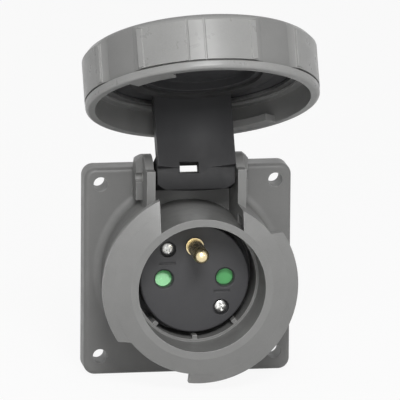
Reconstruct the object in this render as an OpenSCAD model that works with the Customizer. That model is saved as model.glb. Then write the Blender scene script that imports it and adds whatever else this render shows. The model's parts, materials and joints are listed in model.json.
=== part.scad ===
// Panel socket, two poles and earth, with a hinged cap and a bayonet locking ring.
// The main axis points out of the panel along -Y. The origin is the centre of the mounting plane.

/* [Flange] */
// Side of the square mounting flange
flange_w = 64.5; // [60:0.5:74]
// How much further the flange reaches down than up
flange_low = 0.9; // [0:0.1:2]
// Depth of the flange, from the panel to its front face
flange_h = 8; // [7:0.5:9]
// Thickness of the flange's front wall
flange_wall = 3; // [2:0.1:3.5]
// Thickness of the flange's skirt
skirt_wall = 2.2; // [1.6:0.1:3]
// Radius of the flange's corners
corner_r = 3.5; // [3:0.5:5]
// Rounding of the flange's front edge
flange_edge_r = 1.4; // [0.6:0.1:1.8]
// Distance of a fixing hole's axis from the flange's sides
bolt_inset = 5; // [4.5:0.1:6.5]
// Diameter of a fixing hole
bolt_d = 4.4; // [3.4:0.1:5]
// Wall round a fixing hole, behind the flange
bolt_boss_wall = 1.8; // [1.2:0.1:2.4]
// Thickness of the seal behind the flange
flange_seal_h = 1.5; // [1:0.1:2.5]

/* [Collar] */
// Radius of the sleeve that the plug enters
sleeve_r = 19.7; // [19.5:0.1:20.2]
// Wall of the sleeve
sleeve_wall = 2.3; // [1.8:0.1:2.6]
// Reach of the sleeve's rim in front of the flange
sleeve_reach = 29.3; // [27:0.1:32]
// Gap between the sleeve and the collar's wall
collar_gap = 2.7; // [2.2:0.1:3.6]
// Wall of the collar
collar_wall = 2.4; // [1.8:0.1:3]
// How far the collar's front face falls back from the rim to its edge
face_fall = 2; // [1:0.1:3]
// Thickness of the liner inside the sleeve, round the insert
liner_t = 0.8; // [0.4:0.1:0.9]
// Reach of the liner in front of the flange
liner_reach = 15.5; // [12:0.1:18]
// Depth of the guide ribs on the liner
rib_depth = 1.2; // [0.6:0.1:1.3]
// Fillet between the collar and the flange
collar_fillet = 2.6; // [1:0.1:3.5]

/* [Bayonet] */
// Height of the two ramps above the collar
ramp_h = 3.2; // [2.8:0.1:3.6]
// Angle that a ramp spans
ramp_span = 129.5; // [100:0.5:135]
// Angle of the closed end of the first ramp, from the right
ramp_start = -96.6; // [-100:0.1:-90]
// Thickness of a ramp's edge at its middle
ramp_t = 2.2; // [1.6:0.1:3]
// Slope of a ramp's rear face, in degrees
ramp_rear_slope = 0.9; // [0:0.1:1.5]
// Radial grip of a lug behind its ramp
lug_grip = 1.2; // [0.8:0.1:1.6]
// Thickness of a lug along the axis
lug_t = 2.2; // [1.5:0.1:2.4]
// Angle that a lug spans
lug_span = 26; // [16:1:30]
// Angle of the middle of the first lug when unlocked
lug_angle = 53; // [50:1:60]

/* [Hinge] */
// Height of the hinge axis above the sleeve
hinge_rise = 8.8; // [8.4:0.1:9.4]
// Distance of the hinge axis in front of the flange
hinge_out = 7.4; // [7:0.1:8]
// Opening angle of the cap
open_angle = 119.8; // [95:0.1:121]
// Diameter of the hinge pin
hinge_pin_d = 2.8; // [2.4:0.1:3.4]
// Radial play of the knuckle on the pin
hinge_play = 0.05; // [0.02:0.01:0.1]
// Radius of the lid's knuckle
knuckle_r = 4.2; // [3.6:0.1:4.6]
// Width of the strap that carries the lid
strap_w = 24; // [22:0.1:25.2]
// Thickness of the strap
strap_t = 4; // [3:0.1:4.4]
// Gap on each side of the strap
strap_gap = 0.8; // [0.3:0.05:1]
// Gap between the strap's turning end and the sleeve
strap_clear = 0.2; // [0.15:0.05:0.5]
// How far the strap's end reaches past its knuckle
strap_past = 1.9; // [1:0.1:2]
// Thickness of an ear beside the strap
ear_t = 2.6; // [2:0.1:3.2]
// Radius of an ear round the hinge axis
ear_r = 7.2; // [6:0.1:7.6]
// Height of the shoulder in front of an ear, above the hinge axis
ear_ledge = 3.7; // [2.5:0.1:5]
// Reach of the ears in front of the flange
ear_reach = 17; // [15:0.1:18]
// Width of the gap in the middle of the knuckle, where the pin is bare
knuckle_gap = 13; // [11:0.5:15]
// Width of the window through the strap
window_w = 6; // [3:0.1:7]
// Height of the window through the strap
window_h = 3.6; // [2:0.1:4]
// Place of the window's middle, to the side
window_x = -2; // [-2.5:0.1:2.5]

/* [Cap] */
// How far the locking ring's skirt reaches behind the sleeve's rim
skirt_reach = 8.4; // [8:0.1:9]
// Gap between the ramps and the ring's skirt
skirt_gap = 2.7; // [2.4:0.1:3]
// Wall of the ring at its lip band
ring_wall = 2.8; // [2.4:0.1:3.4]
// Length of the lip band behind the lobes
lip_band = 2.2; // [1.6:0.1:3]
// Rounding of the lip band's rear edge
lip_edge_r = 1; // [0.4:0.1:1.2]
// How far the lip band stands out from the ring's wall
lip_step = 1.2; // [0.8:0.1:1.4]
// Gap between the lip band and the lobes
lobe_gap = 0.6; // [0.4:0.1:1]
// Angle that the lobes above and below span
lobe_span = 68; // [60:1:74]
// Angle that the lobes at the sides span
side_lobe_span = 76; // [60:1:80]
// Angle of the slope at each end of a lobe
lobe_slope = 4; // [2:0.5:6]
// Height of the lobes above the ring's wall
lobe_h = 1.3; // [0.8:0.1:1.8]
// Height of the bead at each end of a lobe
bead_h = 0.3; // [0.2:0.1:0.6]
// Angle that a bead spans
bead_span = 3; // [2:0.5:5]
// Angle between the two fine grooves at the middle of a lobe
mark_span = 8.3; // [5:0.1:10]
// Width of a fine groove
mark_w = 0.6; // [0.4:0.1:1]
// Rounding of the ring's front edge
ring_edge_r = 2; // [1:0.1:2.5]
// Step from the skirt in to the lid's disc
seat_step = 2.6; // [2.2:0.1:3]
// Thickness of the lid's disc
disc_t = 3.8; // [3.2:0.1:4.2]
// Width of the ring's front web over the lid
web_w = 5.4; // [4:0.1:8]
// Thickness of the ring's front web
web_t = 4.1; // [3:0.1:5]
// Axial play of the ring on the lid
ring_play = 0.2; // [0.1:0.05:0.3]
// Thickness of the snap ring that holds the lid in the ring
snap_t = 1; // [0.8:0.1:1.2]
// Thickness of the lid's sealing ring
lid_seal_t = 2.4; // [2:0.1:3]
// How far the lid's sealing ring stands out of its groove
lid_seal_out = 1; // [0.6:0.1:1.2]
// Gap between the lid's seal and the sleeve's rim when closed
lid_seal_gap = 0.3; // [0.1:0.1:0.5]

/* [Insert] */
// Width of the slot between the insert and the sleeve
insert_gap = 2.7; // [2.5:0.1:3.4]
// Reach of the insert's face in front of the flange
face_reach = 14.05; // [12:0.05:16]
// Thickness of the insert's face
face_t = 2.55; // [2:0.05:3]
// Distance between the line and neutral entries
pin_pitch = 19; // [18.5:0.1:19.5]
// Diameter of an entry
entry_d = 5.4; // [5.1:0.05:5.5]
// Height of the earth pin above the line of the entries
earth_up = 10; // [9.5:0.1:10.5]
// Diameter of the earth pin
earth_d = 4.8; // [4.6:0.05:5]
// How much thicker the earth pin's shank is inside the insert, all round
earth_step = 0.4; // [0.3:0.1:0.6]
// Height of the shank's shoulder in front of the insert's face
earth_shoulder = 0.4; // [0.2:0.1:0.8]
// Reach of the earth pin in front of the insert's face
earth_reach = 14.9; // [12:0.1:18]
// Place of a face screw to the side
screw_x = 8.3; // [8:0.1:8.8]
// Place of a face screw up or down
screw_y = 9.3; // [9:0.1:9.8]
// Diameter of a face screw's head
screw_head_d = 3.8; // [3.2:0.1:4.2]
// Reach of the terminals behind the panel
terminal_back = 19; // [17:0.5:28]

/* [Shutter] */
// Thickness of the shutter
shutter_t = 2.2; // [1.6:0.1:2.4]
// Turn of the shutter from closed to open
shutter_turn = 38; // [36:1:40]
// Radial play of the shutter on its pivot
shutter_play = 0.05; // [0.02:0.01:0.1]

/* [Contacts] */
// Outer radius of a line or neutral contact
contact_r = 3.4; // [3.2:0.1:3.5]
// Radius of a terminal
terminal_r = 4.2; // [3.8:0.1:4.4]
// Diameter of a wire entry
wire_d = 3.8; // [2.5:0.1:4.2]
// Depth of a wire entry
wire_depth = 8; // [6:0.5:10]
// Diameter of a terminal screw
terminal_screw_d = 3.5; // [3:0.1:3.6]
// Length of a terminal screw
terminal_screw_len = 3.6; // [3:0.1:5]
// Thickness of the pressure pad under a terminal screw
clamp_t = 0.7; // [0.5:0.1:1]
// Length of the slots in a line or neutral contact
contact_slot = 11; // [6:0.5:14]

/* [Hidden] */
$fn = 96;
eps = 0.01;
fit = 0.1;       // gap between seated round pieces
big = 200;       // longer than the whole part

// Places along the main axis, measured from the mounting plane
flange_z = flange_h;
rim_z = flange_h + sleeve_reach;
edge_z = rim_z - face_fall;
face_z = flange_h + face_reach;
liner_z = flange_h + liner_reach;
hinge_z = flange_h + hinge_out;
lip_z = rim_z - skirt_reach;

// Radii and heights that follow from one another, from the sleeve outwards
sleeve_out = sleeve_r + sleeve_wall;
collar_r = sleeve_out + collar_gap + collar_wall;
ramp_r = collar_r + ramp_h;
skirt_r = ramp_r + skirt_gap;
lip_r = skirt_r + ring_wall;
ring_r = lip_r - lip_step;
lobe_r = ring_r + lobe_h;
disc_r = skirt_r - seat_step;
front_hole_r = disc_r - web_w;
insert_r = sleeve_r - insert_gap;
liner_r = sleeve_r - liner_t;
hinge_up = sleeve_out + hinge_rise;
bolt_pitch = flange_w - 2 * bolt_inset;
face_slope = face_fall / (collar_r - sleeve_out);

// Insert and carrier
shoulder_t = 3;
shoulder_z = flange_h + 1;
seat_z = shoulder_z + shoulder_t;
shoulder_r = insert_r + 0.6;
insert_flange_r = insert_r + 1.4;
insert_flange_t = 1.5;
carrier_seal_t = 0.8;
carrier_flange_r = sleeve_r + 0.5;
carrier_flange_t = 5.2;
carrier_core_r = insert_r + 0.4;
rear_rib_t = 1.6;
rear_rib_len = 14;
hub_gap = 0.2;
hub_wall = 3;
hub_r = carrier_flange_r + hub_gap;
pocket_z = face_z - face_t;
pocket_r = pin_pitch / 2 + entry_d / 2 + 1.35;
shutter_top_gap = 0.3;
shutter_rear_gap = 0.2;
boss_z = pocket_z - shutter_top_gap - shutter_t - shutter_rear_gap;
boss_r = pocket_r - 0.2;
shutter_z = boss_z + shutter_rear_gap;
pad_r = entry_d / 2 + 0.65;
pivot_r = 1.7;
spring_r = 2.5;
spring_wire_r = 0.3;
spring_turns = 3;
spring_pitch = 0.62;
spring_room_r = spring_r + spring_wire_r + 0.5;
spring_z = boss_z - 2.1;
hub_of_shutter_r = spring_room_r + 0.9;
screw_post_r = screw_head_d / 2 + 1;
earth_shank_r = earth_d / 2 + earth_step;
earth_post_r = earth_shank_r + 0.9;
screw_shaft_r = 1.2;
screw_len = 14;
thread_r = 2.1;
thread_len = 6;
recess_r = screw_head_d / 2 + 0.6;
recess_depth = 2.2;
head_t = 1.6;
terminal_z = -7.5;
terminal_end = -terminal_back;
carrier_rear = terminal_z - 2.5;
wire_r = wire_d / 2;
screw_level = terminal_end + wire_depth * 0.6;
contact_z = boss_z - 1;
contact_bore_r = entry_d / 2 - 0.25;
contact_slot_w = 0.7;
contact_spring_z = contact_z - 6.5;
contact_spring_h = 2;
contact_spring_t = 0.5;
clip_gap = 30;   // angle left open in a clip or a snap ring
slot_w = 0.6;    // width of a screw's slot
slot_depth = 1;

// Ramps and lugs
ramp_mid = ramp_start + ramp_span / 2;
ramp_end_y = ramp_r * sin(ramp_start + ramp_span);
ramp_front_z = edge_z - ramp_h * face_slope;
ramp_rear_z = ramp_front_z - ramp_t;
lug_gap = 0.25;
lug_front = ramp_rear_z - ramp_r * sin(ramp_span / 2) * tan(ramp_rear_slope) - lug_gap;
lug_rear = lug_front - lug_t;
lug_r = ramp_r - lug_grip;

// Lid and locking ring, in the closed place
seal_face = rim_z + lid_seal_gap;
disc_rear = seal_face + lid_seal_out;
disc_front = disc_rear + disc_t;
front_web = disc_front + ring_play;
snap_z = disc_rear - ring_play - snap_t;
snap_in = disc_r - 1.8;
snap_out = disc_r + 0.9;
bore_step = snap_z - 1;
ring_front = front_web + web_t;
boss_top = ring_front - 1;
seal_in = sleeve_r - 0.8;
seal_out = sleeve_out + 0.3;
strap_in = sleeve_out + 0.5;
strap_out = strap_in + strap_t;
strap_turn_r = hinge_rise - strap_clear;
strap_tail = knuckle_r + strap_past;
window_z = hinge_z + 0.2;
channel_w = strap_w + 2 * strap_gap;
top_cut = hinge_up - 2.6;
lobe_angle = -100;
lobe_end = ring_front - 0.9;
lobe_chamfer = 1.5;

// Turns the main axis, drawn along +Z, to point out of the panel along -Y
module stand() rotate([90, 0, 0]) children();

// Carries the closed cap, drawn with the main axis along +Z, to its open place
module open_cap()
    translate([0, hinge_up, hinge_z]) rotate([-open_angle, 0, 0])
        translate([0, -hinge_up, -hinge_z]) children();

// A disc between two heights
module disc(r, z0, z1, fn = 96) translate([0, 0, z0]) cylinder(r = r, h = z1 - z0, $fn = fn);

// A ring between two radii and two heights
module band(r0, r1, z0, z1) difference() {
    disc(r1, z0, z1);
    disc(r0, z0 - 1, z1 + 1);
}

// A part of a ring between two angles
module sector(r0, r1, z0, z1, a0, a1)
    rotate([0, 0, a0]) rotate_extrude(angle = a1 - a0)
        translate([r0, z0]) square([r1 - r0, z1 - z0]);

// A rod along X between two places, on the hinge axis
module hinge_rod(r, x0, x1)
    translate([x0, hinge_up, hinge_z]) rotate([0, 90, 0]) cylinder(r = r, h = x1 - x0, $fn = 64);

// A point at a radius and an angle
function polar(r, a) = [r * cos(a), r * sin(a)];

// A plate with round corners, which reaches a little further down than up
module rounded_plate(w, r, z0, z1) {
    half = w / 2 - r;
    foot = half + flange_low;
    translate([-w / 2, -foot, z0]) cube([w, half + foot, z1 - z0]);
    translate([-half, -foot - r, z0]) cube([2 * half, half + foot + 2 * r, z1 - z0]);
    for (x = [-half, half], y = [-foot, half]) translate([x, y, 0]) disc(r, z0, z1, 64);
}

// The same plate with its front edge rounded
module soft_plate(w, r, z1, e) {
    half = w / 2 - r;
    foot = half + flange_low;
    side = w / 2 - e;
    rounded_plate(w, r, 0, z1 - e);
    rounded_plate(w - 2 * e, r - e, 0, z1);
    for (x = [-side, side])
        translate([x, -foot, z1 - e]) rotate([-90, 0, 0]) cylinder(r = e, h = half + foot, $fn = 48);
    for (y = [-side - flange_low, side])
        translate([-half, y, z1 - e]) rotate([0, 90, 0]) cylinder(r = e, h = 2 * half, $fn = 48);
    for (x = [-half, half], y = [-foot, half])
        translate([x, y, z1 - e]) rotate_extrude($fn = 64) translate([r - e, 0]) intersection() {
            circle(r = e, $fn = 48);
            translate([0, -e]) square([e, 2 * e]);
        }
}

module at_bolts() for (x = [-1, 1], y = [-1, 1]) translate([x, y, 0] * bolt_pitch / 2) children();

module at_screws() for (s = [-1, 1]) translate([s * screw_x, -s * screw_y, 0]) children();

// ---- housing ----

// Flange: a square tray with bosses round its fixing holes and ribs behind its front wall
module flange() {
    inner_w = flange_w - 2 * skirt_wall;
    rib_len = (flange_w - skirt_wall) / 2 - hub_r;
    difference() {
        soft_plate(flange_w, corner_r, flange_z, flange_edge_r);
        rounded_plate(inner_w, corner_r - skirt_wall + 0.4, -1, flange_z - flange_wall);
    }
    intersection() {
        rounded_plate(flange_w - 1, corner_r - 0.5, 0, flange_z - flange_wall + eps);
        at_bolts() disc(bolt_d / 2 + bolt_boss_wall, 0, flange_z, 48);
    }
    for (a = [0, 180, 270]) rotate([0, 0, a])
        translate([hub_r + 1, -rear_rib_t / 2, flange_seal_h])
            cube([rib_len, rear_rib_t, flange_z - flange_wall - flange_seal_h + eps]);
}

// Section of the collar: outer wall, sloping face, sleeve with its liner, shoulder and rear hub
module collar_section() {
    translate([sleeve_r, shoulder_z]) square([sleeve_wall, rim_z - shoulder_z]);
    translate([liner_r, shoulder_z + eps]) square([liner_t + sleeve_wall / 2, liner_z - shoulder_z]);
    translate([shoulder_r, shoulder_z]) square([hub_r + hub_wall - shoulder_r, shoulder_t]);
    translate([hub_r, 0]) square([hub_wall, shoulder_z + eps]);
    translate([collar_r - collar_wall, flange_z - flange_wall])
        square([collar_wall, edge_z - collar_wall - flange_z + flange_wall]);
    polygon([
        [sleeve_out - eps, rim_z], [collar_r, edge_z], [collar_r, edge_z - collar_wall - eps],
        [collar_r - collar_wall, edge_z - collar_wall - eps], [sleeve_out - eps, rim_z - collar_wall]
    ]);
    difference() {
        translate([collar_r - eps, flange_z - eps]) square(collar_fillet);
        translate([collar_r + collar_fillet, flange_z + collar_fillet])
            circle(r = collar_fillet, $fn = 48);
    }
}

// One ramp: a curved bar whose front carries on the slope of the collar's face, a hair behind it. A
// slanting plane cuts its rear, so that it is thin at its open end, which is cut off level.
module ramp() difference() {
    lead = 8;
    behind = 0.03;
    intersection() {
        sector(collar_r - 1, ramp_r, ramp_rear_z - 3, rim_z, ramp_start, ramp_start + ramp_span + lead);
        rotate_extrude() polygon([
            [0, 0], [ramp_r + 1, 0], [ramp_r + 1, ramp_front_z - face_slope - behind],
            [sleeve_out, rim_z - behind], [0, rim_z - behind]
        ]);
    }
    rotate([0, 0, ramp_mid]) translate([0, 0, ramp_rear_z]) rotate([ramp_rear_slope, 0, 0])
        translate([-big / 2, -big / 2, -big]) cube([big, big, big]);
    translate([0, ramp_end_y, 0]) cube([big, big, big]);
}

// The ears of the hinge, which are also the side walls of the strap's channel
module ear() {
    in = channel_w / 2;
    rear_t = ear_t + 2;
    chamfer = 2;
    foot = sleeve_r * cos(asin(in / sleeve_r)) - 1;
    difference() {
        union() {
            hinge_rod(ear_r, in, in + ear_t);
            translate([in, foot, flange_z - flange_wall])
                cube([ear_t, hinge_up - foot, ear_reach + flange_wall]);
            translate([in, hinge_up - 1, hinge_z])
                cube([ear_t, ear_ledge + 1, ear_reach - hinge_out]);
            intersection() {
                hinge_rod(ear_r, in, in + rear_t);
                translate([in, hinge_up - ear_r, 0]) cube([rear_t, 3 * ear_r, hinge_z]);
            }
            translate([in, hinge_up - ear_r, flange_z - 1])
                cube([rear_t, ear_r, hinge_out + 1]);
        }
        translate([in + rear_t, hinge_up + ear_r - chamfer, 0]) rotate([0, 0, 45])
            translate([0, -chamfer * 2, -1]) cube([chamfer * 3, chamfer * 4, big]);
        disc(sleeve_r + eps, -1, big);
    }
}

// The channel that the strap swings through, down to the sleeve
module channel() {
    difference() {
        translate([-channel_w / 2, 0, flange_z]) cube([channel_w, big, big]);
        disc(sleeve_out, -1, big);
    }
    translate([-channel_w / 2, top_cut, -1]) cube([channel_w, big, big]);
}

// Hollow between the sleeve and the collar, open to the rear
module rear_hollow() difference() {
    union() {
        band(sleeve_out, collar_r - collar_wall, seat_z, edge_z - collar_wall);
        band(hub_r + hub_wall, collar_r - collar_wall, -1, seat_z + eps);
    }
    translate([-channel_w / 2 - ear_t, 0, -2]) cube([channel_w + 2 * ear_t, big, big]);
    for (a = [0 : 45 : 315]) rotate([0, 0, a + 22.5])
        translate([0, -rear_rib_t / 2, flange_z - flange_wall]) cube([collar_r, rear_rib_t, rear_rib_len]);
}

// Three guide ribs inside the liner: one at the bottom and one on each side of it
module guide_ribs() {
    rib_z = seat_z + insert_flange_t + 0.3;
    rib_w = 1.5;
    for (a = [-132, -90, -48]) rotate([0, 0, a])
        translate([liner_r - rib_depth, -rib_w / 2, rib_z])
            cube([rib_depth + liner_t, rib_w, liner_z - 0.4 - rib_z]);
}

module housing() color([0.46, 0.46, 0.46]) stand() difference() {
    union() {
        difference() {
            union() {
                flange();
                rotate_extrude() collar_section();
                ramp();
                rotate([0, 0, 180]) ramp();
            }
            rear_hollow();
            channel();
        }
        ear();
        mirror([1, 0, 0]) ear();
        difference() {
            translate([-channel_w / 2 - eps, top_cut - skirt_wall, 0])
                cube([channel_w + 2 * eps, skirt_wall, flange_z]);
            disc(hub_r + 1, -1, big);
        }
        guide_ribs();
    }
    disc(hub_r, -1, shoulder_z);
    at_bolts() disc(bolt_d / 2, -1, big, 48);
    hinge_rod(hinge_pin_d / 2 + 0.01, -big / 2, big / 2);
}

// ---- seals ----

module flange_seal() color([0.12, 0.12, 0.12]) stand() difference() {
    rounded_plate(flange_w - 2 * skirt_wall - 0.6, 1.5, 0, flange_seal_h);
    disc(hub_r + hub_wall + 0.3, -1, big);
    at_bolts() disc(bolt_d / 2 + bolt_boss_wall + 0.3, -1, big, 48);
    translate([-channel_w / 2 - ear_t - 2.5, top_cut - skirt_wall - 0.3, -1])
        cube([channel_w + 2 * ear_t + 5, big, big]);
}

module carrier_seal() color([0.15, 0.15, 0.15]) stand()
    band(carrier_core_r + fit, carrier_flange_r, shoulder_z - carrier_seal_t, shoulder_z);

// ---- insert ----

// Front of the insert: a cup with the entries in its face, seated on the housing's shoulder
module insert_face() color([0.2, 0.2, 0.2]) stand() difference() {
    union() {
        difference() {
            union() {
                rotate_extrude() {
                    translate([0, seat_z]) square([insert_r - 0.5, face_z - seat_z]);
                    translate([0, seat_z]) square([insert_r, face_z - seat_z - 0.5]);
                    translate([insert_r - 0.5, face_z - 0.5]) circle(r = 0.5, $fn = 32);
                    translate([0, seat_z]) square([insert_flange_r, insert_flange_t]);
                }
            }
            disc(pocket_r, seat_z - 1, pocket_z);
        }
        at_screws() disc(screw_post_r, seat_z, pocket_z + eps, 48);
        translate([0, earth_up, 0]) disc(earth_post_r, seat_z, pocket_z + eps, 48);
    }
    for (s = [-1, 1]) translate([s * pin_pitch / 2, 0, 0]) {
        disc(entry_d / 2, seat_z, big, 48);
        translate([0, 0, face_z - 0.5]) cylinder(r1 = entry_d / 2, r2 = entry_d / 2 + 0.6, h = 0.6, $fn = 48);
    }
    translate([0, earth_up, 0]) disc(earth_shank_r + fit / 2, -1, big, 48);
    at_screws() {
        disc(screw_shaft_r + fit, -1, big, 48);
        disc(recess_r, face_z - recess_depth, big, 48);
    }
    groove = [5, 0.7, 0.5];
    for (s = [-1, 1]) translate([s * (pin_pitch / 2 - 1) - groove[0] / 2, -s * 4.6, face_z - groove[2]])
        cube([groove[0], groove[1], 1]);
}

// Rear of the insert: holds the contacts, whose terminals stand out behind it, and clamps the housing's
// shoulder from behind
module contact_carrier() color([0.16, 0.16, 0.17]) stand() difference() {
    union() {
        disc(carrier_core_r, shoulder_z - carrier_flange_t, seat_z);
        disc(carrier_flange_r, shoulder_z - carrier_seal_t - carrier_flange_t, shoulder_z - carrier_seal_t);
        disc(insert_r - 0.2, carrier_rear, shoulder_z - carrier_flange_t);
        disc(boss_r, seat_z - eps, boss_z);
        disc(pivot_r, boss_z - 2.4, pocket_z - 0.2, 48);
    }
    band(pivot_r, spring_room_r, spring_z - spring_wire_r - 0.1, boss_z + 1);
    for (s = [-1, 1]) translate([s * pin_pitch / 2, 0, 0]) {
        disc(contact_r + fit, terminal_z, big, 48);
        disc(contact_r + contact_spring_t + 2 * fit, contact_spring_z - 1, big, 48);
        disc(terminal_r + fit, carrier_rear - 1, terminal_z, 48);
    }
    translate([0, earth_up, 0]) {
        disc(earth_shank_r + fit, terminal_z, big, 48);
        disc(earth_post_r + fit, seat_z, big, 48);
        disc(terminal_r + fit, carrier_rear - 1, terminal_z, 48);
    }
    at_screws() {
        disc(screw_post_r + fit, seat_z, big, 48);
        disc(thread_r + 0.02, seat_z - thread_len - 1, seat_z - 1, 48);
        disc(screw_shaft_r + fit, seat_z - thread_len - 3, big, 48);
    }
}

// Places of the three terminals, each turned so that X points outwards
module at_terminals() {
    translate([pin_pitch / 2, 0, 0]) children();
    translate([-pin_pitch / 2, 0, 0]) rotate([0, 0, 180]) children();
    translate([0, earth_up, 0]) rotate([0, 0, 90]) children();
}

module thread_inserts() color([0.72, 0.58, 0.3]) stand() at_screws()
    difference() {
        disc(thread_r, seat_z - thread_len - 1, seat_z - 1, 48);
        disc(screw_shaft_r + 0.02, -big, big, 48);
    }

module face_screws() color([0.75, 0.75, 0.73]) stand() at_screws() {
    seat = face_z - recess_depth;
    cross_w = screw_head_d * 0.72;
    difference() {
        union() {
            disc(screw_shaft_r, seat - screw_len, seat + eps, 48);
            intersection() {
                disc(screw_head_d / 2, seat, seat + head_t, 48);
                translate([0, 0, seat + head_t - screw_head_d]) sphere(r = screw_head_d, $fn = 96);
            }
        }
        for (a = [20, 110]) rotate([0, 0, a])
            translate([-cross_w / 2, -slot_w / 2, seat + head_t - slot_depth])
                cube([cross_w, slot_w, 2 * slot_depth]);
    }
}

// ---- shutter ----

// Two-armed shutter: a pad behind each entry, with a sloping face that a pin pushes aside
module shutter() color([0.2, 0.62, 0.36]) stand() {
    top = shutter_z + shutter_t;
    difference() {
        union() {
            disc(hub_of_shutter_r, shutter_z, top, 48);
            translate([-pin_pitch / 2, -2.4, shutter_z]) cube([pin_pitch, 4.8, shutter_t]);
            for (s = [-1, 1]) translate([s * pin_pitch / 2, 0, 0]) disc(pad_r, shutter_z, top, 48);
        }
        for (a = [0, 180]) rotate([0, 0, a]) translate([pin_pitch / 2, -pad_r, top - 0.2])
            rotate([14, 0, 0]) translate([-pad_r - 1, -1, 0]) cube([2 * pad_r + 3, 4 * pad_r, 4]);
        disc(pivot_r + shutter_play, -1, big, 48);
        sector(spring_r - 0.45, spring_r + 0.45, shutter_z - 1, shutter_z + 1.2, -10 - shutter_turn, 10);
    }
}

// Points of one ring of the spring's wire
function wire_ring(t, sides) = [
    for (i = [0 : sides - 1])
        let (w = 360 * i / sides, r = spring_r + spring_wire_r * cos(w))
        [r * cos(360 * t), r * sin(360 * t), spring_z + spring_pitch * t + spring_wire_r * sin(w)]
];

// Coiled return spring round the shutter's pivot, with one end turned up into the shutter
module shutter_spring() color([0.7, 0.7, 0.7]) stand() {
    sides = 6;
    steps = 24 * spring_turns;
    points = [for (k = [0 : steps]) each wire_ring(k / 24, sides)];
    walls = [
        for (k = [0 : steps - 1], i = [0 : sides - 1])
            let (j = (i + 1) % sides, a = k * sides)
            [a + i, a + j, a + sides + j, a + sides + i]
    ];
    start = [for (i = [sides - 1 : -1 : 0]) i];
    end = [for (i = [0 : sides - 1]) steps * sides + i];
    polyhedron(points, concat([start], walls, [end]), convexity = 8);
    tail_z = spring_z + spring_pitch * spring_turns;
    translate([spring_r, 0, tail_z])
        cylinder(r = spring_wire_r * 0.9, h = shutter_z + 0.9 - tail_z, $fn = 24);
}

// ---- contacts and terminals ----

// Rear part of a contact: a turned barrel with a wire entry and a clamping screw
module terminal() difference() {
    disc(terminal_r, terminal_end, terminal_z, 48);
    disc(wire_r, terminal_end - 1, terminal_end + wire_depth, 48);
    translate([0, 0, screw_level]) rotate([0, 90, 0])
        cylinder(r = terminal_screw_d / 2 + 0.02, h = big, $fn = 48);
}

// Turned contact with a slotted front that grips a pin
module pin_contact() {
    terminal();
    difference() {
        disc(contact_r, terminal_z - eps, contact_z, 48);
        disc(contact_bore_r, terminal_z + 4, big, 48);
        for (a = [45, 135]) rotate([0, 0, a])
            translate([-contact_r - 1, -contact_slot_w / 2, contact_z - contact_slot])
                cube([2 * contact_r + 2, contact_slot_w, big]);
    }
}

module line_contact() color([0.75, 0.6, 0.32]) stand() translate([-pin_pitch / 2, 0, 0])
    rotate([0, 0, 180]) pin_contact();

module neutral_contact() color([0.75, 0.6, 0.32]) stand() translate([pin_pitch / 2, 0, 0])
    pin_contact();

module earth_pin() color([0.8, 0.68, 0.42]) stand() translate([0, earth_up, 0]) rotate([0, 0, 90]) {
    tip_z = face_z + earth_reach - earth_d / 2;
    terminal();
    disc(earth_shank_r, terminal_z - eps, face_z + earth_shoulder, 48);
    disc(earth_d / 2, face_z, tip_z, 48);
    translate([0, 0, tip_z]) sphere(r = earth_d / 2, $fn = 48);
}

// Spring clips round the slotted contacts
module contact_springs() color([0.7, 0.7, 0.7]) stand() for (s = [-1, 1])
    translate([s * pin_pitch / 2, 0, 0])
        sector(contact_r + 0.02, contact_r + contact_spring_t, contact_spring_z,
            contact_spring_z + contact_spring_h, 70 + clip_gap, 430);

// Slotted clamping screws
module terminal_screws() color([0.72, 0.72, 0.7]) stand() at_terminals()
    translate([wire_r + clamp_t, 0, screw_level]) rotate([0, 90, 0]) difference() {
        cylinder(r = terminal_screw_d / 2, h = terminal_screw_len, $fn = 48);
        translate([-terminal_screw_d, -slot_w / 2, terminal_screw_len - slot_depth])
            cube([2 * terminal_screw_d, slot_w, 2 * slot_depth]);
    }

// Pressure pads between the screws and the wires
module wire_clamps() color([0.65, 0.66, 0.66]) stand() at_terminals()
    translate([wire_r, 0, screw_level]) rotate([0, 90, 0])
        cylinder(r = terminal_screw_d / 2, h = clamp_t, $fn = 48);

// ---- hinge and cap ----

module hinge_pin() color([0.72, 0.72, 0.7]) stand()
    hinge_rod(hinge_pin_d / 2, -channel_w / 2 - ear_t, channel_w / 2 + ear_t);

// Side view of the strap's hinge end, cut round so that it turns clear of the sleeve
module strap() difference() {
    intersection() {
        translate([-strap_w / 2, 0, 0]) cube([strap_w, big, big]);
        union() {
            band(strap_in, strap_out, hinge_z, disc_rear + 1);
            intersection() {
                band(strap_in, strap_out, hinge_z - strap_tail, hinge_z + eps);
                hinge_rod(strap_turn_r, -big / 2, big / 2);
            }
            translate([-strap_w / 2, strap_in + 1.5, hinge_z - knuckle_r])
                cube([strap_w, hinge_up - strap_in - 1.5, 2 * knuckle_r]);
            hinge_rod(knuckle_r, -strap_w / 2, strap_w / 2);
        }
    }
    hinge_rod(hinge_pin_d / 2 + hinge_play, -big / 2, big / 2);
    translate([-knuckle_gap / 2, strap_out, hinge_z - strap_tail - 1])
        cube([knuckle_gap, big, strap_tail + knuckle_r + 2]);
    translate([window_x - window_w / 2, 0, window_z - window_h / 2]) cube([window_w, big, window_h]);
}

// Lid: a disc with a domed boss that shows through the ring, a seal groove and the strap
module lid() color([0.15, 0.15, 0.16]) stand() open_cap() {
    dome_r = 130;
    difference() {
        union() {
            disc(disc_r, disc_rear, disc_front);
            intersection() {
                disc(front_hole_r - 0.4, disc_rear, boss_top);
                translate([0, 0, boss_top - dome_r]) sphere(r = dome_r, $fn = 128);
            }
        }
        band(seal_in, seal_out, disc_rear - 1, disc_rear + lid_seal_t - lid_seal_out);
        disc(sleeve_r - 2.8, disc_rear - 1, disc_rear + 2.6);
    }
    strap();
}

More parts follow.
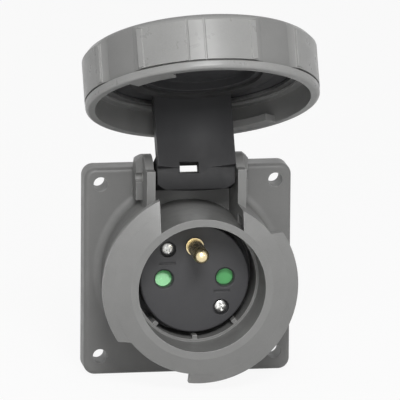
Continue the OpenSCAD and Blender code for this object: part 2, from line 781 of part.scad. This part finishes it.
module lid_seal() color([0.1, 0.1, 0.1]) stand() open_cap()
    band(seal_in, seal_out, seal_face, seal_face + lid_seal_t);

module snap_ring() color([0.7, 0.7, 0.7]) stand() open_cap()
    sector(snap_in, snap_out, snap_z, snap_z + snap_t, 75 + clip_gap, 435);

// Section of the locking ring: skirt over the bayonet, seat for the lid and front web
module ring_section() difference() {
    union() {
        translate([0, lip_z + lip_edge_r]) square([lip_r, lip_band - lip_edge_r]);
        translate([lip_r - lip_edge_r, lip_z + lip_edge_r]) circle(r = lip_edge_r, $fn = 48);
        translate([0, lip_z]) square([lip_r - lip_edge_r, lip_band]);
        translate([0, lip_z]) square([ring_r, ring_front - ring_edge_r - lip_z]);
        translate([0, lip_z]) square([ring_r - ring_edge_r, ring_front - lip_z]);
        translate([ring_r - ring_edge_r, ring_front - ring_edge_r]) circle(r = ring_edge_r, $fn = 48);
    }
    translate([-1, lip_z - 1]) square([skirt_r + 1, bore_step - lip_z + 1]);
    translate([-1, lip_z]) square([disc_r + fit + 1, front_web - lip_z]);
    translate([-1, snap_z - 0.1]) square([snap_out + fit + 1, snap_t + 0.2]);
    translate([-1, lip_z]) square([front_hole_r + 1, big]);
}

// One grip lobe with sloping ends, a bead at each end and two fine grooves at its middle
module lobe(span) {
    z0 = lip_z + lip_band + lobe_gap;
    half = span / 2;
    far = lobe_r + 5;
    far_half = half - lobe_slope * (far - ring_r) / lobe_h;
    difference() {
        intersection() {
            rotate_extrude($fn = 128) polygon([
                [ring_r - 1.5, z0], [lobe_r, z0], [lobe_r, lobe_end - lobe_chamfer],
                [ring_r, lobe_end], [ring_r - 1.5, lobe_end]
            ]);
            translate([0, 0, z0 - 1]) linear_extrude(lobe_end - z0 + 2) polygon([
                [0, 0], polar(ring_r, -half), polar(far, -far_half), polar(far, far_half), polar(ring_r, half)
            ]);
        }
        for (s = [-1, 1]) rotate([0, 0, s * mark_span / 2])
            translate([lobe_r - 0.5, -mark_w / 2, z0 - 1]) cube([2, mark_w, big]);
    }
    bead_z = lobe_end - lobe_chamfer - 0.3;
    for (a = [-half + lobe_slope, half - lobe_slope - bead_span])
        sector(ring_r - 1.1, lobe_r + bead_h, z0 + 0.3, bead_z, a, a + bead_span);
}

// Locking ring: lobed grip outside and two bayonet lugs inside its skirt
module locking_ring() color([0.55, 0.55, 0.55]) stand() open_cap() {
    rotate_extrude($fn = 128) ring_section();
    for (a = [0, 180]) rotate([0, 0, lobe_angle + a]) {
        lobe(lobe_span);
        rotate([0, 0, 90]) lobe(side_lobe_span);
    }
    for (a = [0, 180]) rotate([0, 0, a + lug_angle])
        sector(lug_r, skirt_r + 0.5, lug_rear, lug_front, -lug_span / 2, lug_span / 2);
}

housing();
flange_seal();
insert_face();
contact_carrier();
carrier_seal();
thread_inserts();
face_screws();
shutter();
shutter_spring();
line_contact();
neutral_contact();
earth_pin();
contact_springs();
terminal_screws();
wire_clamps();
hinge_pin();
lid();
lid_seal();
snap_ring();
locking_ring();
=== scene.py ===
"""Panel socket with a hinged bayonet cap: finishes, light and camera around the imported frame."""

import json
import math

import bpy
from mathutils import Matrix, Vector


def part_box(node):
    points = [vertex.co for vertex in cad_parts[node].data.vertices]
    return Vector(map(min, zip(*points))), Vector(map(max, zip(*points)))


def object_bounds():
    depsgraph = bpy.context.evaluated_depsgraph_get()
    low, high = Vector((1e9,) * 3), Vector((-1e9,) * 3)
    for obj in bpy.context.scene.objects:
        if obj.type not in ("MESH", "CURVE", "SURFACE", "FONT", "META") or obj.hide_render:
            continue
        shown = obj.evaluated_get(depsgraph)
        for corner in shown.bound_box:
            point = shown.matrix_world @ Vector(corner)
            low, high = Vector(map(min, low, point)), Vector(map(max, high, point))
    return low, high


# ---- camera: where it stands and what it takes in, in metres ----
CAMERA_LEFT = math.radians(9.06)
CAMERA_ABOVE = math.radians(12.83)
CAMERA_ROLL = math.radians(0.45)
CAMERA_DISTANCE = 2.5
VIEW_WIDTH = 0.12365
AIM_RIGHT = 0.00384
AIM_UP = 0.02098
SENSOR_WIDTH = 36.0
CLIP_NEAR = 0.1
CLIP_FAR = 20.0

# ---- soft boxes: name, place from the object's middle, side of the square and watts ----
SOFT_BOXES = (
    ("key", (-0.03, -0.54, 0.38), 0.22, 3.05),
    ("front", (-0.12, -0.75, 0.06), 0.4, 0.75),
    ("side", (0.46, -0.56, 0.18), 0.14, 0.3),
    ("top", (-0.1, 0.25, 0.6), 0.4, 0.25),
)

# ---- backdrop and floor: AMBIENT is the even light that falls on the object ----
AMBIENT = 0.25
BACKDROP_WHITE = (1.0, 1.0, 1.0, 1.0)
FLOOR_HALF = 6.0
FLOOR_DROP = 0.0002
FLOOR_COLOUR = (0.8, 0.8, 0.8, 1.0)
FLOOR_ROUGH = 0.9
FLOOR_GLOW = 0.92

# ---- sizes of noise, as a scale in metres: 1000 has features of about a millimetre ----
FLOW_NOISE = 90.0
GLOSS_NOISE = 300.0
EDGE_WEAR_AND_HIGHLIGHT_NOISE = 420.0
PEEL_NOISE = 700.0
GRAIN_NOISE = 2600.0
BLOOM_NOISE = 260.0
RUBBER_NOISE = 1800.0
TOOL_NOISE = 260.0
TARNISH_NOISE = 350.0
CLOUD_NOISE = 900.0
PLATING_NOISE = 3000.0
TURNING = (1.0, 60.0, 1.0)

# ---- edges: radius of the paler edges, partly worn and partly painted highlight, and radius that is softly rounded, in metres ----
EDGE_WEAR_AND_HIGHLIGHT_RADIUS = 0.0005
MOULDED_EDGE = 0.00028
RUBBER_EDGE = 0.0003
METAL_EDGE = 0.00025
PLATED_EDGE = 0.0002
BEVEL_SAMPLES = 6
SHARP_TURN = 0.82
# how much paler the edges are painted: partly worn, partly painted highlight
EDGE_WEAR_AND_HIGHLIGHT_SHADE = 1.7

# ---- painted shade of the mouldings: its tones, with the places where they start and end, in metres ----
FLANGE_DEPTH = 0.008
# painted shade on the housing: none in front of this depth, deepest at the flange's front
UNSHADED_FROM = 0.03
PANEL_SHADE_TONE = 0.82
RING_WALL = 0.0346
LOBE_HEIGHT = 0.0009
# how dark the painted shade makes the ring's inside and the hollows between its lobes
HOLLOW_SHADE_TONE = 0.74
# painted shade round the hinge: its reach from the axis and how dark it gets
HINGE_SHADE_REACH = (0.006, 0.0135)
HINGE_SHADE_TONE = 0.22
DULLING = 0.4

# ---- rise added to the shutter's arms for each metre across them ----
LENS_SLOPE = 0.38


# ---- node helpers ----


class Nodes:
    """A short way to write a material's nodes."""

    def __init__(self, name):
        self.material = bpy.data.materials.new(name)
        self.material.use_nodes = True
        self.tree = self.material.node_tree
        self.shader = self.tree.nodes["Principled BSDF"]
        self.place = self.add("ShaderNodeTexCoord").outputs["Object"]

    def add(self, kind, **settings):
        node = self.tree.nodes.new(kind)
        for key, value in settings.items():
            setattr(node, key, value)
        return node

    def link(self, source, target):
        self.tree.links.new(source, target)

    def feed(self, socket, value):
        """Gives a socket a link, or the number or colour itself."""
        if isinstance(value, (int, float, tuple)):
            socket.default_value = value
        else:
            self.link(value, socket)

    def noise(self, scale, detail=3.0, roughness=0.55, stretch=None):
        """Noise over the object, stretched by a factor for each axis where one is given."""
        node = self.add("ShaderNodeTexNoise")
        node.inputs["Scale"].default_value = scale
        node.inputs["Detail"].default_value = detail
        node.inputs["Roughness"].default_value = roughness
        source = self.place
        if stretch:
            mapping = self.add("ShaderNodeMapping")
            mapping.inputs["Scale"].default_value = stretch
            self.link(self.place, mapping.inputs["Vector"])
            source = mapping.outputs["Vector"]
        self.link(source, node.inputs["Vector"])
        return node.outputs["Fac"]

    def span(self, value, low, high, to_low=0.0, to_high=1.0):
        """Maps a value from one range to another, held within the second."""
        node = self.add("ShaderNodeMapRange")
        limits = {"From Min": low, "From Max": high, "To Min": to_low, "To Max": to_high}
        for key, number in limits.items():
            node.inputs[key].default_value = number
        self.link(value, node.inputs["Value"])
        return node.outputs["Result"]

    def maths(self, operation, a, b):
        node = self.add("ShaderNodeMath", operation=operation)
        self.feed(node.inputs[0], a)
        self.feed(node.inputs[1], b)
        return node.outputs[0]

    def mix(self, factor, a, b):
        """Mixes two colours by a factor."""
        node = self.add("ShaderNodeMix", data_type="RGBA")
        self.link(factor, node.inputs[0])
        self.feed(node.inputs[6], a)
        self.feed(node.inputs[7], b)
        return node.outputs[2]

    def vector(self, operation, a, b=None):
        """Vector arithmetic: a length comes back as a value."""
        node = self.add("ShaderNodeVectorMath", operation=operation)
        self.link(a, node.inputs[0])
        if b is not None:
            self.feed(node.inputs[1], b)
        return node.outputs["Value" if operation in ("LENGTH", "DOT_PRODUCT") else "Vector"]

    def scaled(self, colour, factor):
        """A colour made lighter or darker by a factor that varies over the surface."""
        node = self.add("ShaderNodeVectorMath", operation="SCALE")
        self.link(colour, node.inputs[0])
        self.link(factor, node.inputs["Scale"])
        return node.outputs[0]

    def split(self, vector):
        """The three parts of a vector."""
        node = self.add("ShaderNodeSeparateXYZ")
        self.link(vector, node.inputs[0])
        return node.outputs

    def radius_from(self, joint):
        """Distance from a joint's axis, in metres."""
        away = self.vector("SUBTRACT", self.place, tuple(joint["pos_m"]))
        return self.vector("LENGTH", self.vector("CROSS_PRODUCT", away, tuple(joint["axis"])))

    def soft_normal(self, radius):
        """The surface's normal with its edges rounded."""
        node = self.add("ShaderNodeBevel", samples=BEVEL_SAMPLES)
        node.inputs["Radius"].default_value = radius
        return node.outputs["Normal"]

    def edges(self, radius):
        """1 on a sharp edge, falling to 0 within the radius."""
        flat = self.add("ShaderNodeNewGeometry").outputs["Normal"]
        return self.span(self.vector("DOT_PRODUCT", self.soft_normal(radius), flat), 1.0, SHARP_TURN)

    def bump(self, layers, edge_radius):
        """Adds layers of (height, depth in metres) over softly rounded edges, and sets the normal."""
        normal = self.soft_normal(edge_radius)
        for height, depth in layers:
            node = self.add("ShaderNodeBump")
            node.inputs["Strength"].default_value = 1.0
            node.inputs["Distance"].default_value = depth
            self.link(height, node.inputs["Height"])
            self.link(normal, node.inputs["Normal"])
            normal = node.outputs["Normal"]
        self.link(normal, self.shader.inputs["Normal"])


def shade(colour, factor):
    """The same colour made lighter or darker."""
    return tuple(min(1.0, part * factor) for part in colour) + (1.0,)


# ---- materials ----


def moulded_plastic(name, colour, rough, grain, edge_wear_and_highlight, specular=0.5, tone=None, relief=()):
    """Moulded plastic: a fine spark-eroded grain, slight flow marks and edges made a little paler,
    partly as worn edges and partly as painted highlight.

    tone gives a factor on the colour, which is also duller where it is darker. relief gives layers
    of (height, depth) under the grain."""
    n = Nodes(name)
    flow = n.noise(FLOW_NOISE, 4.0, 0.6)
    fine = n.noise(GRAIN_NOISE, 2.0, 0.5)
    marbled = n.mix(n.span(flow, 0.3, 0.7), shade(colour, 0.93), shade(colour, 1.07))
    speckled = n.mix(n.span(fine, 0.35, 0.65), shade(colour, 0.96), shade(colour, 1.05))
    body = n.mix(n.span(fine, 0.45, 0.55, 0.0, 0.5), marbled, speckled)
    gloss = n.span(n.noise(GLOSS_NOISE), 0.3, 0.7, rough - 0.05, rough + 0.07)
    if tone:
        factor = tone(n)
        body = n.scaled(body, factor)
        gloss = n.maths("ADD", gloss, n.span(factor, 0.0, 1.0, DULLING, 0.0))
    patchy = n.span(n.noise(EDGE_WEAR_AND_HIGHLIGHT_NOISE), 0.4, 0.62, 0.25, 1.0)
    # paler edges in patches: partly worn, partly painted highlight
    rubbed_and_highlit_edges = n.maths("MULTIPLY", n.maths("MULTIPLY", n.edges(EDGE_WEAR_AND_HIGHLIGHT_RADIUS), patchy), edge_wear_and_highlight)
    n.link(n.mix(rubbed_and_highlit_edges, body, shade(colour, EDGE_WEAR_AND_HIGHLIGHT_SHADE)), n.shader.inputs["Base Color"])
    n.link(gloss, n.shader.inputs["Roughness"])
    n.shader.inputs["Specular IOR Level"].default_value = specular
    layers = [(height(n), depth) for height, depth in relief]
    n.bump(layers + [(fine, grain), (n.noise(PEEL_NOISE, 2.0), grain * 1.5)], MOULDED_EDGE)
    return n.material


def panel_painted_shade(n):
    """Painted shade for the housing: darker and a little duller towards the panel, behind the collar and
    the cap.
    """
    return n.span(n.split(n.place)[1], -UNSHADED_FROM, -FLANGE_DEPTH, 1.0, PANEL_SHADE_TONE)


def painted_hollow_shade_of(turn):
    """Painted shade for the ring: darker and duller inside it and between its lobes than on the lobes'
    outer faces.
    """
    return lambda n: n.span(n.radius_from(turn), RING_WALL, RING_WALL + LOBE_HEIGHT, HOLLOW_SHADE_TONE, 1.0)


def painted_hinge_shade_of(hinge):
    """Painted shade for the lid: its knuckle and the strap's end are darker and duller near the hinge.
    """
    return lambda n: n.span(n.radius_from(hinge), *HINGE_SHADE_REACH, HINGE_SHADE_TONE, 1.0)


def lens_slope(n):
    """Height that deepens the slope of the shutter's two arms, which rise towards opposite sides."""
    x, _, z = n.split(n.place)
    return n.maths("MULTIPLY", n.maths("SIGN", x, 0.0), z)


def rubber(name, colour):
    """Sealing rubber: matt, with a dusty bloom."""
    n = Nodes(name)
    bloom = n.noise(BLOOM_NOISE, 5.0, 0.65)
    dusty = n.mix(n.span(bloom, 0.4, 0.75), shade(colour, 0.9), shade(colour, 1.9))
    n.link(dusty, n.shader.inputs["Base Color"])
    n.link(n.span(bloom, 0.3, 0.7, 0.62, 0.8), n.shader.inputs["Roughness"])
    n.bump([(n.noise(RUBBER_NOISE), 0.00002)], RUBBER_EDGE)
    return n.material


def turned_metal(name, colour, rough):
    """Turned metal: fine rings of tool marks round the socket's axis and a slight tarnish."""
    n = Nodes(name)
    tarnish = n.noise(TARNISH_NOISE, 5.0, 0.6)
    dulled = n.mix(n.span(tarnish, 0.35, 0.7), shade(colour, 1.05), shade(colour, 0.78))
    n.link(dulled, n.shader.inputs["Base Color"])
    n.shader.inputs["Metallic"].default_value = 1.0
    n.link(n.span(tarnish, 0.3, 0.7, rough - 0.06, rough + 0.1), n.shader.inputs["Roughness"])
    n.bump([(n.noise(TOOL_NOISE, 2.0, 0.5, TURNING), 0.00001)], METAL_EDGE)
    return n.material


def plated_steel(name, colour, rough):
    """Plated or drawn steel: a faint mottled sheen."""
    n = Nodes(name)
    cloud = n.noise(CLOUD_NOISE, 4.0, 0.6)
    mottled = n.mix(n.span(cloud, 0.35, 0.65), shade(colour, 0.85), shade(colour, 1.1))
    n.link(mottled, n.shader.inputs["Base Color"])
    n.shader.inputs["Metallic"].default_value = 1.0
    n.link(n.span(cloud, 0.3, 0.7, rough, rough + 0.15), n.shader.inputs["Roughness"])
    n.bump([(n.noise(PLATING_NOISE), 0.000006)], PLATED_EDGE)
    return n.material


def finish_nodes(frame):
    """Gives each node of the frame its finished material."""
    joints = {joint["name"]: joint for joint in frame["record"]["behaviour"]["joints"]}
    turn, hinge = joints["ring_turn"], joints["lid_hinge"]
    finishes = {
        "grey_moulding": moulded_plastic(
            "grey polyamide", (0.2, 0.2, 0.196), 0.36, 0.000012, 0.7, tone=panel_painted_shade
        ),
        "grey_ring": moulded_plastic(
            "ring polyamide", (0.26, 0.26, 0.255), 0.31, 0.00001, 0.5, tone=painted_hollow_shade_of(turn)
        ),
        "black_moulding": moulded_plastic(
            "black insert", (0.045, 0.045, 0.048), 0.48, 0.000012, 0.35
        ),
        "black_lid": moulded_plastic(
            "black lid", (0.042, 0.042, 0.044), 0.46, 0.00001, 0.3, 0.38, painted_hinge_shade_of(hinge)
        ),
        "green_moulding": moulded_plastic(
            "green shutter", (0.185, 0.62, 0.235), 0.22, 0.000004, 0.2,
            relief=[(lens_slope, LENS_SLOPE)],
        ),
        "seal_rubber": rubber("seal rubber", (0.022, 0.022, 0.022)),
        "brass": turned_metal("turned brass", (0.9, 0.76, 0.47), 0.24),
        "plated_steel": plated_steel("zinc plate", (0.72, 0.72, 0.7), 0.28),
        "spring_steel": plated_steel("spring steel", (0.5, 0.5, 0.5), 0.3),
    }
    slots = {part["node"]: part["material_slot"] for part in frame["record"]["subparts"]}
    for name, obj in frame["nodes"].items():
        obj.data.materials.clear()
        obj.data.materials.append(finishes[slots[name]])


# ---- scene ----


def make_camera(front_y):
    """A long lens from the left and above, as the object is best known."""
    turn, lift, roll = CAMERA_LEFT, CAMERA_ABOVE, CAMERA_ROLL
    right = Vector((math.cos(turn), -math.sin(turn), 0.0))
    ahead = Vector((math.sin(turn) * math.cos(lift), math.cos(turn) * math.cos(lift), -math.sin(lift)))
    up = Vector((math.sin(turn) * math.sin(lift), math.cos(turn) * math.sin(lift), math.cos(lift)))
    level = right * math.cos(roll) + up * math.sin(roll)
    tall = up * math.cos(roll) - right * math.sin(roll)
    data = bpy.data.cameras.new("camera")
    data.sensor_width = SENSOR_WIDTH
    data.lens = SENSOR_WIDTH * CAMERA_DISTANCE / VIEW_WIDTH
    data.clip_start = CLIP_NEAR
    data.clip_end = CLIP_FAR
    camera = bpy.data.objects.new("camera", data)
    bpy.context.collection.objects.link(camera)
    target = Vector((0.0, front_y, 0.0)) + level * AIM_RIGHT + tall * AIM_UP
    turned = Matrix((level, tall, -ahead)).transposed().to_4x4()
    camera.matrix_world = Matrix.Translation(target - ahead * CAMERA_DISTANCE) @ turned
    bpy.context.scene.camera = camera


def make_lights(centre):
    """Square soft boxes that the camera doesn't see, aimed at the object's middle."""
    for name, offset, size, watts in SOFT_BOXES:
        data = bpy.data.lights.new(name, "AREA")
        data.size = size
        data.energy = watts
        light = bpy.data.objects.new(name, data)
        bpy.context.collection.objects.link(light)
        place = centre + Vector(offset)
        light.location = place
        light.rotation_mode = "QUATERNION"
        light.rotation_quaternion = (centre - place).to_track_quat("-Z", "Y")
        light.visible_camera = False


def seen_directly(nodes, links):
    """1 where a ray comes from the camera, a reflection or a clear surface."""
    path = nodes.new("ShaderNodeLightPath")
    first = nodes.new("ShaderNodeMath")
    first.operation = "MAXIMUM"
    links.new(path.outputs["Is Camera Ray"], first.inputs[0])
    links.new(path.outputs["Is Glossy Ray"], first.inputs[1])
    second = nodes.new("ShaderNodeMath")
    second.operation = "MAXIMUM"
    links.new(first.outputs[0], second.inputs[0])
    links.new(path.outputs["Is Transmission Ray"], second.inputs[1])
    return second.outputs[0]


def make_world():
    """White to the camera and in reflections, and a low even light on the object."""
    world = bpy.data.worlds.new("world")
    bpy.context.scene.world = world
    world.use_nodes = True
    nodes, links = world.node_tree.nodes, world.node_tree.links
    background = nodes["Background"]
    background.inputs["Color"].default_value = BACKDROP_WHITE
    level = nodes.new("ShaderNodeMapRange")
    level.inputs["To Min"].default_value = AMBIENT
    level.inputs["To Max"].default_value = 1.0
    links.new(seen_directly(nodes, links), level.inputs["Value"])
    links.new(level.outputs["Result"], background.inputs["Strength"])


def make_floor(height):
    """A pale floor that looks nearly white and keeps a soft shadow."""
    mesh = bpy.data.meshes.new("floor")
    corners = [(x * FLOOR_HALF, y * FLOOR_HALF, height) for x, y in ((-1, -1), (1, -1), (1, 1), (-1, 1))]
    mesh.from_pydata(corners, [], [(0, 1, 2, 3)])
    floor = bpy.data.objects.new("floor", mesh)
    bpy.context.collection.objects.link(floor)
    material = bpy.data.materials.new("floor")
    material.use_nodes = True
    nodes, links = material.node_tree.nodes, material.node_tree.links
    matt = nodes["Principled BSDF"]
    matt.inputs["Base Color"].default_value = FLOOR_COLOUR
    matt.inputs["Roughness"].default_value = FLOOR_ROUGH
    glow = nodes.new("ShaderNodeEmission")
    share = nodes.new("ShaderNodeMath")
    share.operation = "MULTIPLY"
    share.inputs[1].default_value = FLOOR_GLOW
    links.new(seen_directly(nodes, links), share.inputs[0])
    mixer = nodes.new("ShaderNodeMixShader")
    links.new(share.outputs[0], mixer.inputs[0])
    links.new(matt.outputs[0], mixer.inputs[1])
    links.new(glow.outputs[0], mixer.inputs[2])
    links.new(mixer.outputs[0], nodes["Material Output"].inputs["Surface"])
    mesh.materials.append(material)


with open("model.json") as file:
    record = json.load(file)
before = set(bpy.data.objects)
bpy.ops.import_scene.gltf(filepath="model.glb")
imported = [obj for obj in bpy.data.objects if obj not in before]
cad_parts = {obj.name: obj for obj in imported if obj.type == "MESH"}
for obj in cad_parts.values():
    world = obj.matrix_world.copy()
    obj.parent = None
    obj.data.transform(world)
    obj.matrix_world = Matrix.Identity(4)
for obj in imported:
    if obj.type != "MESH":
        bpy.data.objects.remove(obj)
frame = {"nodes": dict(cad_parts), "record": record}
cad_box = [list(corner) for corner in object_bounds()]

bpy.context.scene.view_settings.view_transform = "Standard"

make_camera(-FLANGE_DEPTH)
make_world()
make_lights((Vector(cad_box[0]) + Vector(cad_box[1])) / 2)
make_floor(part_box("housing")[0][2] - FLOOR_DROP)
finish_nodes(frame)
